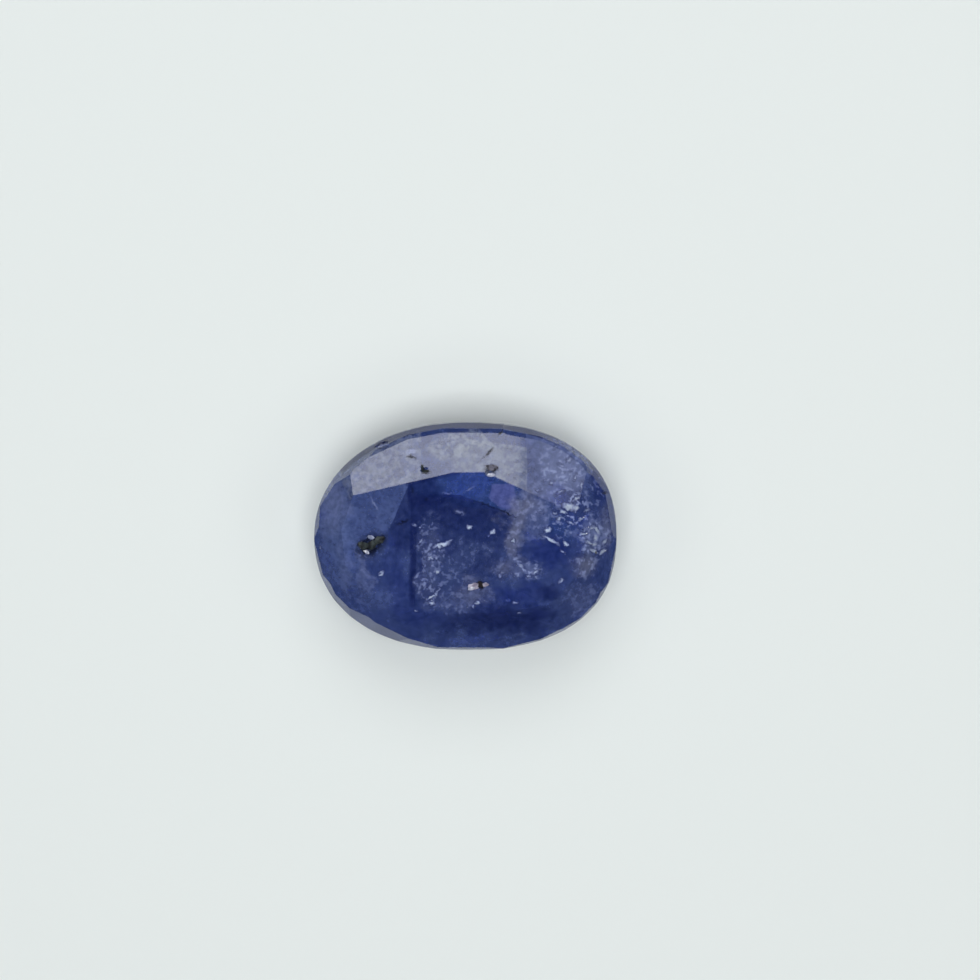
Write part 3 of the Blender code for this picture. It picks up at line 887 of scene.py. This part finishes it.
@dataclass(frozen=True)
class CrystalFinish:
    """Clear blue crystal with milky zones, feathers that flash and dark specks. Its colour also
    holds painted light and shade: a painted reflection on the crown, lit and shaded facets,
    painted shade on the back rim and in a pit, and painted glints and glitter.

    The levels are heights over the surface that the stone stands on, and the scales of the
    noises are per metre. A range is where a smooth step starts and ends.
    """

    transmission: float = 0.5
    roughness: float = 0.045
    dull: float = 0.5
    absorption_colour: Colour = (0.02, 0.22, 0.84)
    absorption: float = 200.0
    table_level: float = 5.488 * MM
    rim_level: float = 4.60 * MM
    marks_foot: float = 4.0 * MM
    marks_top: float = 4.3 * MM
    shake_scale: float = 1300.0
    waver: float = 0.10 * MM
    wanders: tuple[float, ...] = (0.5 * MM, 1.0 * MM, 2.0 * MM)
    grain_scale: float = 3000.0
    grain_range: tuple[float, float] = (0.38, 0.62)
    mottle_scale: float = 4200.0
    mottle_range: tuple[float, float] = (0.30, 0.72)
    light_value: float = 1.20
    light_saturation: float = 0.95
    dark_value: float = 0.82
    edge_scale: float = 6500.0
    ragged: float = 0.30 * MM
    gap_range: tuple[float, float] = (0.30, 0.50)
    mark_reach: float = 2.2
    mark_range: tuple[float, float] = (0.2, 0.7)
    core_range: tuple[float, float] = (0.4, 0.85)
    halo_range: tuple[float, float] = (0.0, 0.3)
    halo: float = 0.5

    def build(self, sight: "LineOfSight") -> bpy.types.Material:
        """Make the material.

        Args:
            sight: where the pixels of the zones and marks meet the stone.

        Returns:
            The material of the whole stone.
        """
        material, nodes, shader = new_material("sapphire_crystal")
        place = nodes.add("ShaderNodeTexCoord").outputs["Object"]
        height = nodes.add("ShaderNodeSeparateXYZ", {0: place}).outputs["Z"]
        shake = nodes.vector(
            "SUBTRACT", nodes.noise(place, self.shake_scale, 4.0).outputs["Color"],
            (0.5, 0.5, 0.5))
        silk = nodes.group(silk_group(), {"Position": place, "Shake": shake}).outputs["Mask"]
        colour = nodes.blend(silk, MID_BLUE, MILKY_BLUE)
        colour = self.add_zones(nodes, place, shake, height, colour, sight)
        colour = self.add_patches(nodes, place, shake, colour, sight)
        colour = self.add_mottle(nodes, place, colour)
        colour, gloss = self.add_marks(nodes, place, height, colour, sight)
        nodes.tree.links.new(colour, shader.inputs["Base Color"])
        nodes.tree.links.new(gloss, shader.inputs["Roughness"])
        shader.inputs["IOR"].default_value = IOR
        shader.inputs["Transmission Weight"].default_value = self.transmission
        depth = nodes.add("ShaderNodeVolumeAbsorption", {
            "Color": (*self.absorption_colour, 1.0), "Density": self.absorption})
        output = nodes.tree.nodes["Material Output"]
        nodes.tree.links.new(depth.outputs[0], output.inputs["Volume"])
        return material

    def add_zones(self, nodes: NodeTree, place: bpy.types.NodeSocket,
                  shake: bpy.types.NodeSocket, height: bpy.types.NodeSocket,
                  colour: bpy.types.NodeSocket, sight: "LineOfSight") -> bpy.types.NodeSocket:
        """Lay each straight-sided zone over a colour.

        A zone is the product of the masks of its sides and of the flats that it shows on.

        Args:
            nodes: the material's tree.
            place: the shaded point.
            shake: a coarse noise round zero, for each direction.
            height: the shaded point's height.
            colour: the colour below.
            sight: where the zones' corners meet the stone.

        Returns:
            The new colour.
        """
        side_tree = zone_side_group()
        place = nodes.vector("ADD", place, nodes.scaled(shake, self.waver))
        noise = nodes.noise(place, self.grain_scale, 4.0, 0.65)
        grain = nodes.smooth_step(noise.outputs["Fac"], *self.grain_range)
        masks = {
            Side.TABLE: nodes.maths("GREATER_THAN", height, self.table_level),
            Side.CROWN: nodes.maths("LESS_THAN", height, self.table_level),
            Side.RIM: nodes.maths("LESS_THAN", height, self.rim_level)}
        for zone in ZONES:
            points = [sight.meet(corner) for corner in zone.corners]
            mask = masks[zone.side]
            for number, point in enumerate(points):
                along = points[(number + 1) % len(points)] - point
                inward = Vector((-along.y, along.x, 0.0)).normalized()
                inward /= zone.softness[number] * sight.camera.pixel
                side = nodes.group(side_tree, {
                    "Position": place, "Inward": tuple(inward), "Start": inward.dot(point)})
                mask = nodes.maths("MULTIPLY", side.outputs["Mask"], mask)
            amount = nodes.between(grain, zone.strength * (1.0 - zone.mottle), zone.strength)
            colour = nodes.blend(nodes.maths("MULTIPLY", mask, amount), colour, zone.colour)
        return colour

    def add_patches(self, nodes: NodeTree, place: bpy.types.NodeSocket,
                    shake: bpy.types.NodeSocket, colour: bpy.types.NodeSocket,
                    sight: "LineOfSight") -> bpy.types.NodeSocket:
        """Lay each soft patch, and its share of painted glitter, over a colour.

        A patch reads its place shaken by the wander that is nearest to its own ragged size.

        Args:
            nodes: the material's tree.
            place: the shaded point.
            shake: a coarse noise round zero, for each direction.
            colour: the colour below.
            sight: where the patches' middles meet the stone.

        Returns:
            The new colour.
        """
        pixel = sight.camera.pixel
        glitter = nodes.group(
            glitter_group(), {"Position": place, "Shake": shake}).outputs["Mask"]
        shaken = {
            wander: nodes.vector("ADD", place, nodes.scaled(shake, wander))
            for wander in self.wanders}
        for patch in PATCHES:
            aim = patch.ragged * sum(patch.half_pixels) / 2 * pixel
            wander = min(shaken, key=lambda size: abs(size - aim))
            level = nodes.group(spot_group(), {
                "Position": shaken[wander], "Centre": tuple(sight.meet(patch.pixel)),
                "Half Size": (patch.half_pixels[0] * pixel, patch.half_pixels[1] * pixel, 1.0),
            }).outputs["Level"]
            mask = nodes.smooth_step(level, 0.0, 1.0 - patch.core)
            amount = nodes.maths("MULTIPLY", mask, patch.strength)
            colour = nodes.blend(amount, colour, patch.colour)
            # Painted glitter: bright strokes for sparkle.
            if patch.glitter:
                amount = nodes.maths(
                    "MULTIPLY", nodes.maths("MULTIPLY", mask, glitter), patch.glitter)
                colour = nodes.blend(amount, colour, SPARK_LILAC)
        return colour

    def add_mottle(self, nodes: NodeTree, place: bpy.types.NodeSocket,
                   colour: bpy.types.NodeSocket) -> bpy.types.NodeSocket:
        """Make a colour a little lighter and darker from spot to spot.

        Args:
            nodes: the material's tree.
            place: the shaded point.
            colour: the colour below.

        Returns:
            The new colour.
        """
        noise = nodes.noise(place, self.mottle_scale)
        fine = nodes.smooth_step(noise.outputs["Fac"], *self.mottle_range)
        lighter = nodes.add("ShaderNodeHueSaturation", {
            "Color": colour, "Value": self.light_value, "Saturation": self.light_saturation})
        darker = nodes.add("ShaderNodeHueSaturation", {
            "Color": colour, "Value": self.dark_value})
        return nodes.blend(fine, darker.outputs[0], lighter.outputs[0])

    def add_marks(self, nodes: NodeTree, place: bpy.types.NodeSocket,
                  height: bpy.types.NodeSocket, colour: bpy.types.NodeSocket,
                  sight: "LineOfSight") -> tuple[bpy.types.NodeSocket, bpy.types.NodeSocket]:
        """Lay the pale marks, the dark ones and the feathers over a colour.

        A fine noise frays the marks' edges and leaves gaps in them, and they fade out down the
        side of the stone. Dark marks on the crown are dull. Some pale and dark marks are painted
        light and shade on the girdle chip and a pit. Over each feather a painted glint is laid,
        white in its core and lilac round it, with a dark halo.

        Args:
            nodes: the material's tree.
            place: the shaded point.
            height: the shaded point's height.
            colour: the colour below.
            sight: where the marks' pixels meet the stone.

        Returns:
            The new colour and the roughness.
        """
        noise = nodes.noise(place, self.edge_scale, 3.0)
        jitter = nodes.vector("SUBTRACT", noise.outputs["Color"], (0.5, 0.5, 0.5))
        near = nodes.vector("ADD", place, nodes.scaled(jitter, self.ragged))
        shallow = nodes.smooth_step(height, self.marks_foot, self.marks_top)
        whole = nodes.smooth_step(noise.outputs["Fac"], *self.gap_range)
        whole = nodes.maths("MULTIPLY", whole, shallow)
        pale, dark, flash = (
            self.join_marks(nodes, near, marks, sight)
            for marks in (PALE_MARKS, DARK_MARKS, FEATHERS))
        pale = nodes.maths("MULTIPLY", nodes.smooth_step(pale, *self.mark_range), whole)
        colour = nodes.blend(pale, colour, PALE_LILAC)
        dark = nodes.maths("MULTIPLY", nodes.smooth_step(dark, *self.mark_range), whole)
        colour = nodes.blend(dark, colour, BLACK_AND_PAINTED_SHADE)
        on_crown = nodes.maths("LESS_THAN", height, self.table_level)
        gloss = nodes.between(
            nodes.maths("MULTIPLY", dark, on_crown), self.roughness, self.dull)
        # A dark halo round each painted glint.
        halo = nodes.maths("MULTIPLY", nodes.smooth_step(flash, *self.halo_range), self.halo)
        colour = nodes.blend(nodes.maths("MULTIPLY", halo, shallow), colour, INK_BLUE)
        # Painted glints over the feathers: lilac round them and white in their cores.
        for span, tint in ((self.mark_range, PALE_LILAC), (self.core_range, PAINTED_GLINT_WHITE)):
            mask = nodes.maths("MULTIPLY", nodes.smooth_step(flash, *span), whole)
            colour = nodes.blend(mask, colour, tint)
        return colour, gloss

    def join_marks(self, nodes: NodeTree, place: bpy.types.NodeSocket, marks: tuple[Mark, ...],
                   sight: "LineOfSight") -> bpy.types.NodeSocket:
        """Join many small marks into one level, the highest of their own.

        Args:
            nodes: the material's tree.
            place: the shaded point.
            marks: the marks.
            sight: where their pixels meet the stone.

        Returns:
            The level, highest in the middle of a mark and 0 well past all of them.
        """
        joined = 0.0
        half = self.mark_reach * sight.camera.pixel / 2
        for mark in marks:
            spot = nodes.group(spot_group(), {
                "Position": place, "Centre": tuple(sight.meet(mark.pixel)),
                "Turn": (0.0, 0.0, math.radians(mark.turn_deg)),
                "Half Size": (mark.length * half, mark.width * half, 1.0),
                "Strength": mark.strength})
            joined = nodes.maths("MAXIMUM", spot.outputs["Level"], joined)
        return joined


@dataclass(frozen=True)
class GrainFinish:
    """Grains with a little sheen, mottled from a dark to a light colour: minerals, and painted
    glints and painted shade in the pits.
    """

    name: str
    dark: Colour
    light: Colour
    roughness: float = 0.35
    scale: float = 4000.0
    light_range: tuple[float, float] = (0.42, 0.62)

    def build(self) -> bpy.types.Material:
        """Make the material.

        Returns:
            The material, with a noise between its two colours.
        """
        material, nodes, shader = new_material(self.name)
        place = nodes.add("ShaderNodeTexCoord").outputs["Object"]
        noise = nodes.noise(place, self.scale, 5.0)
        mask = nodes.smooth_step(noise.outputs["Fac"], *self.light_range)
        nodes.tree.links.new(
            nodes.blend(mask, self.dark, self.light), shader.inputs["Base Color"])
        shader.inputs["Roughness"].default_value = self.roughness
        return material


@dataclass(frozen=True)
class GlintFinish:
    """Bright feathers: thin cracks whose air gap throws the light back like a mirror."""

    name: str
    colour: Colour
    dim: float = 0.75
    roughness: float = 0.22
    scale: float = 3500.0
    bright_range: tuple[float, float] = (0.35, 0.65)

    def build(self) -> bpy.types.Material:
        """Make the material.

        Returns:
            A pale mirror, duller in places.
        """
        material, nodes, shader = new_material(self.name)
        place = nodes.add("ShaderNodeTexCoord").outputs["Object"]
        noise = nodes.noise(place, self.scale, 3.0, 0.5)
        mask = nodes.smooth_step(noise.outputs["Fac"], *self.bright_range)
        duller = tuple(self.dim * part for part in self.colour)
        nodes.tree.links.new(
            nodes.blend(mask, duller, self.colour), shader.inputs["Base Color"])
        shader.inputs["Metallic"].default_value = 1.0
        shader.inputs["Roughness"].default_value = self.roughness
        return material


# The stone


@dataclass
class Stone:
    """The cut crystal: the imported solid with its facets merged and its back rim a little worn."""

    rim_wear: float = 0.045 * MM
    rim_level: float = 4.9 * MM
    long_edge: float = 0.30 * MM
    broad_area: float = 1.5 * MM * MM
    broad_tilt: float = 0.8
    steep_tilts: tuple[float, float] = (0.2, 0.7)
    flat_deg: float = 0.4
    same_point: float = 0.001 * MM

    def build(self) -> bpy.types.Object:
        """Copy the solid, merge its facets and wear its rim.

        Returns:
            The stone, without its finish.
        """
        solid = bmesh.new()
        solid.from_mesh(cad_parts["sapphire"].data)
        bmesh.ops.remove_doubles(solid, verts=solid.verts, dist=self.same_point)
        bmesh.ops.dissolve_limit(
            solid, angle_limit=math.radians(self.flat_deg), verts=solid.verts, edges=solid.edges)
        self.wear_rim(solid)
        mesh = bpy.data.meshes.new("sapphire_stone")
        solid.to_mesh(mesh)
        solid.free()
        stone = bpy.data.objects.new("sapphire_stone", mesh)
        bpy.context.scene.collection.objects.link(stone)
        return stone

    def wear_rim(self, solid: bmesh.types.BMesh) -> None:
        """Wear a narrow flat along each edge of the back rim, midway between its facets.

        Each flat is a plane cut whose normal is the mean of the two facets' normals.

        Args:
            solid: the stone's mesh, which is changed.
        """
        wear = []
        for edge in solid.edges:
            middle = (edge.verts[0].co + edge.verts[1].co) / 2
            if middle.y > 0.0 and self.at_rim(edge):
                normal = sum((face.normal for face in edge.link_faces), Vector()).normalized()
                wear.append((middle - normal * self.rim_wear, normal))
        for point, normal in wear:
            everything = solid.verts[:] + solid.edges[:] + solid.faces[:]
            cut = bmesh.ops.bisect_plane(
                solid, geom=everything, dist=self.same_point, plane_co=point, plane_no=normal,
                clear_outer=True)
            rim = [piece for piece in cut["geom_cut"] if isinstance(piece, bmesh.types.BMEdge)]
            if len(rim) > 2:
                bmesh.ops.edgeloop_fill(solid, edges=rim)
        bmesh.ops.recalc_face_normals(solid, faces=solid.faces)

    def at_rim(self, edge: bmesh.types.BMEdge) -> bool:
        """Say whether an edge runs between a broad crown facet and the steep row at the rim.

        A facet's tilt is the upward part of its normal.

        Args:
            edge: an edge of the stone.

        Returns:
            True if it does and is long enough to wear.
        """
        if edge.calc_length() < self.long_edge:
            return False
        broad = max(face.calc_area() for face in edge.link_faces) > self.broad_area
        low, high = sorted(face.normal.z for face in edge.link_faces)
        level = sum(corner.co.z for corner in edge.verts) / 2
        steep = self.steep_tilts[0] < low < self.steep_tilts[1]
        return broad and steep and high > self.broad_tilt and level < self.rim_level

    def dress(self, stone: bpy.types.Object, sight: "LineOfSight") -> None:
        """Give the stone its finish and let it stand for its solid.

        Args:
            stone: the stone.
            sight: where the pixels of its zones and marks meet it.
        """
        stone.data.materials.clear()
        stone.data.materials.append(CrystalFinish().build(sight))
        keep_in_stone(stone)
        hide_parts("sapphire")


@dataclass
class LineOfSight:
    """Finds places on and in the stone from pixels of the photograph."""

    camera: PhotoCamera
    stone: bpy.types.Object
    surface: BVHTree = field(init=False)

    def __post_init__(self) -> None:
        """Read the stone's finished surface."""
        self.surface = BVHTree.FromObject(self.stone, bpy.context.evaluated_depsgraph_get())

    def hit(self, pixel: Pixel) -> tuple[Vector, Vector, Vector]:
        """Find where the line through a pixel meets the stone.

        A line that misses the stone meets the level at which the camera takes its outline.

        Args:
            pixel: the place in the photograph.

        Returns:
            The point, the facet's normal and the line's direction.
        """
        line = self.camera.sight(pixel)
        point, normal, _, _ = self.surface.ray_cast(self.camera.eye, line)
        if point is None:
            reach = (self.camera.stone_height - self.camera.eye.z) / line.z
            return self.camera.eye + line * reach, Vector((0.0, 0.0, 1.0)), line
        return point, normal, line

    def meet(self, pixel: Pixel) -> Vector:
        """Point of the stone's surface behind a pixel."""
        return self.hit(pixel)[0]

    def inside(self, pixel: Pixel, depth: float) -> Vector:
        """Point at a depth under the surface, seen at a pixel.

        The line of sight bends at the surface by Snell's law and runs on inside.

        Args:
            pixel: where the photograph shows it.
            depth: its distance below the surface, straight in.

        Returns:
            The point.
        """
        point, normal, line = self.hit(pixel)
        ratio = 1.0 / IOR
        cosine = -normal.dot(line)
        bent = math.sqrt(1.0 - ratio ** 2 * (1.0 - cosine ** 2))
        inner = line * ratio + normal * (ratio * cosine - bent)
        return point + inner * (depth / bent)


# Things in the stone


@dataclass
class Feathers:
    """Small healed cracks near the surface that flash where they face the light."""

    marks: tuple[Mark, ...] = FEATHERS
    thickness: float = 0.012 * MM
    lean_deg: float = 12.0
    lean_spread_deg: float = 2.5
    finish: GlintFinish = GlintFinish("feather_glint", (0.90, 0.93, 1.0))
    seed: int = 11

    def build(self, sight: LineOfSight) -> bpy.types.Object:
        """Make all the feathers as one mesh.

        Args:
            sight: where the photograph's pixels lead in the stone.

        Returns:
            The feathers.
        """
        chance = np.random.default_rng(self.seed)
        pixel = sight.camera.pixel
        places = np.array([sight.inside(mark.pixel, mark.depth) for mark in self.marks])
        leans = np.radians(self.lean_deg + chance.normal(0.0, self.lean_spread_deg, len(places)))
        axes = np.stack([np.zeros(len(leans)), np.sin(leans), np.cos(leans)], axis=1)
        turns = np.radians([mark.turn_deg for mark in self.marks])
        lengths = np.array([mark.length for mark in self.marks]) * pixel
        widths = np.array([mark.width for mark in self.marks]) * pixel
        thick = np.full(len(leans), self.thickness)
        points, faces = shard_meshes(
            places, axes, lengths, widths, thick, turns + math.pi / 2, chance)
        feathers = make_object("feathers", points, faces, self.finish.build())
        keep_in_stone(feathers)
        return feathers


@dataclass(frozen=True)
class Grain:
    """One rough grain in a pit, as the photograph shows it: a mineral grain, or a lump that
    stands in for a painted glint or painted shade on the pit's wall.

    Its length and width are in pixels, and it rises out of the stone's surface by its rise.
    """

    name: str
    pixel: Pixel
    length: float
    width: float
    turn_deg: float
    thickness: float
    rise: float
    finish: GrainFinish


DARK_MINERAL = GrainFinish("dark_mineral", (0.004, 0.006, 0.009), (0.032, 0.044, 0.046))
# The white and lilac grains are painted glints off the pits' edges, the pink one is also a painted
# glint in the front pit, and the smoky one is painted shade.
WHITE_GLINT_GRAIN = GrainFinish("white_glint_grain", (0.34, 0.36, 0.48), (0.82, 0.84, 0.94), 0.4)
BLACK_MINERAL = GrainFinish("black_mineral", (0.004, 0.003, 0.004), (0.012, 0.009, 0.012), 0.6)
PINK_GRAIN_AND_GLINT = GrainFinish("pink_grain_and_glint", (0.20, 0.18, 0.26), (0.48, 0.46, 0.58), 0.5)
LILAC_GLINT_GRAIN = GrainFinish("lilac_glint_grain", (0.18, 0.21, 0.33), (0.40, 0.45, 0.62), 0.45)
PIT_SHADE_SMOKY = GrainFinish("pit_shade_smoky", (0.012, 0.012, 0.020), (0.13, 0.13, 0.18), 0.4)

GRAINS = (
    Grain("side_crystal", (370.5, 545), 23, 16, 30, 0.20 * MM, 0.05 * MM, DARK_MINERAL),
    Grain("side_crystal_tip", (379.5, 540), 11, 8, 20, 0.14 * MM, 0.03 * MM, DARK_MINERAL),
    Grain("side_crystal_corner", (362.5, 545.5), 10, 7, -20, 0.12 * MM, 0.03 * MM, DARK_MINERAL),
    # The next two grains are painted glints off the pit's edges.
    Grain("side_crystal_glint", (370.6, 537.6), 6.6, 4.2, -12, 0.08 * MM, 0.06 * MM, LILAC_GLINT_GRAIN),
    Grain("side_crystal_low_glint", (366.6, 552), 5.2, 2.6, -25, 0.08 * MM, 0.06 * MM, WHITE_GLINT_GRAIN),
    Grain("front_grain", (480.6, 584.2), 5, 6.8, 20, 0.14 * MM, 0.11 * MM, BLACK_MINERAL),
    # The next two grains are painted glints off the front pit's edges.
    Grain("front_pit_glint", (473.8, 586.2), 10.5, 7.4, 12, 0.10 * MM, 0.04 * MM, PINK_GRAIN_AND_GLINT),
    Grain("front_flake_rim", (471.6, 588.2), 6, 3, 14, 0.08 * MM, 0.09 * MM, WHITE_GLINT_GRAIN),
    Grain("front_rust", (485.4, 584.8), 5.4, 3.8, -8, 0.08 * MM, 0.03 * MM, PINK_GRAIN_AND_GLINT),
    # Painted shade of the table pit's wall, and below it a painted glint.
    Grain("table_pit_shade", (491, 468), 12, 6, 0, 0.12 * MM, 0.02 * MM, PIT_SHADE_SMOKY),
    Grain("table_pit_glint", (491.4, 475.8), 8.4, 6.6, -6, 0.12 * MM, 0.04 * MM, WHITE_GLINT_GRAIN),
    Grain("crown_stem", (422.4, 468.2), 3, 7, 8, 0.07 * MM, 0.01 * MM, DARK_MINERAL),
    Grain("crown_foot", (426.2, 471.6), 7.6, 3.4, 0, 0.07 * MM, 0.01 * MM, DARK_MINERAL),
)


@dataclass
class PitGrains:
    """The grains in the open pits: minerals, and lumps for painted glints and painted shade."""

    rows: int = 11
    columns: int = 18
    roughness: float = 0.748
    waves: int = 9
    wave_spread: float = 3.2
    seed: int = 5

    def lump(self, grain: Grain, sight: LineOfSight, chance: np.random.Generator) -> np.ndarray:
        """Work out one grain's surface.

        A ball's radius is shaken by the mean of cosine waves in random directions, and the ball
        is stretched to the grain's half sizes, turned and moved.

        Args:
            grain: the grain.
            sight: where its pixel meets the stone.
            chance: the random numbers.

        Returns:
            The corners, ring by ring, and then the two poles.
        """
        out = sphere_directions(self.rows, self.columns)
        directions = chance.normal(0.0, self.wave_spread, (self.waves, 3))
        phases = chance.uniform(0.0, math.tau, self.waves)
        shaken = 1.0 + self.roughness * np.cos(out @ directions.T + phases).mean(axis=1)
        pixel = sight.camera.pixel
        half = np.array([grain.length * pixel, grain.width * pixel, grain.thickness]) / 2
        body = out * shaken[:, None] * half
        turn = math.radians(grain.turn_deg)
        along = body[:, 0] * math.cos(turn) - body[:, 1] * math.sin(turn)
        across = body[:, 0] * math.sin(turn) + body[:, 1] * math.cos(turn)
        middle = np.array(sight.meet(grain.pixel)) + [0.0, 0.0, grain.rise - grain.thickness / 4]
        return np.stack([along, across, body[:, 2]], axis=1) + middle

    def build(self, sight: LineOfSight) -> list[bpy.types.Object]:
        """Make each grain as an object of its own.

        Args:
            sight: where the photograph's pixels meet the stone.

        Returns:
            The grains.
        """
        chance = np.random.default_rng(self.seed)
        finishes: dict[str, bpy.types.Material] = {}
        grains = []
        for grain in GRAINS:
            if grain.finish.name not in finishes:
                finishes[grain.finish.name] = grain.finish.build()
            piece = make_object(
                grain.name, self.lump(grain, sight, chance),
                grid_faces(self.rows, self.columns), finishes[grain.finish.name])
            keep_in_stone(piece)
            grains.append(piece)
        return grains


def main() -> None:
    """Build the camera, the studio and the stone, and log each piece of the stone."""
    logging.basicConfig(level=logging.INFO, format="%(name)s: %(message)s")
    bpy.context.scene.view_settings.view_transform = "Standard"
    camera = PhotoCamera()
    camera.build()
    Studio().build()
    stone_maker = Stone()
    stone = stone_maker.build()
    sight = LineOfSight(camera, stone)
    stone_maker.dress(stone, sight)
    LOG.info("made %s", stone.name)
    LOG.info("made %s", Feathers().build(sight).name)
    for grain in PitGrains().build(sight):
        LOG.info("made %s", grain.name)


if __name__ == "__main__":
    main()
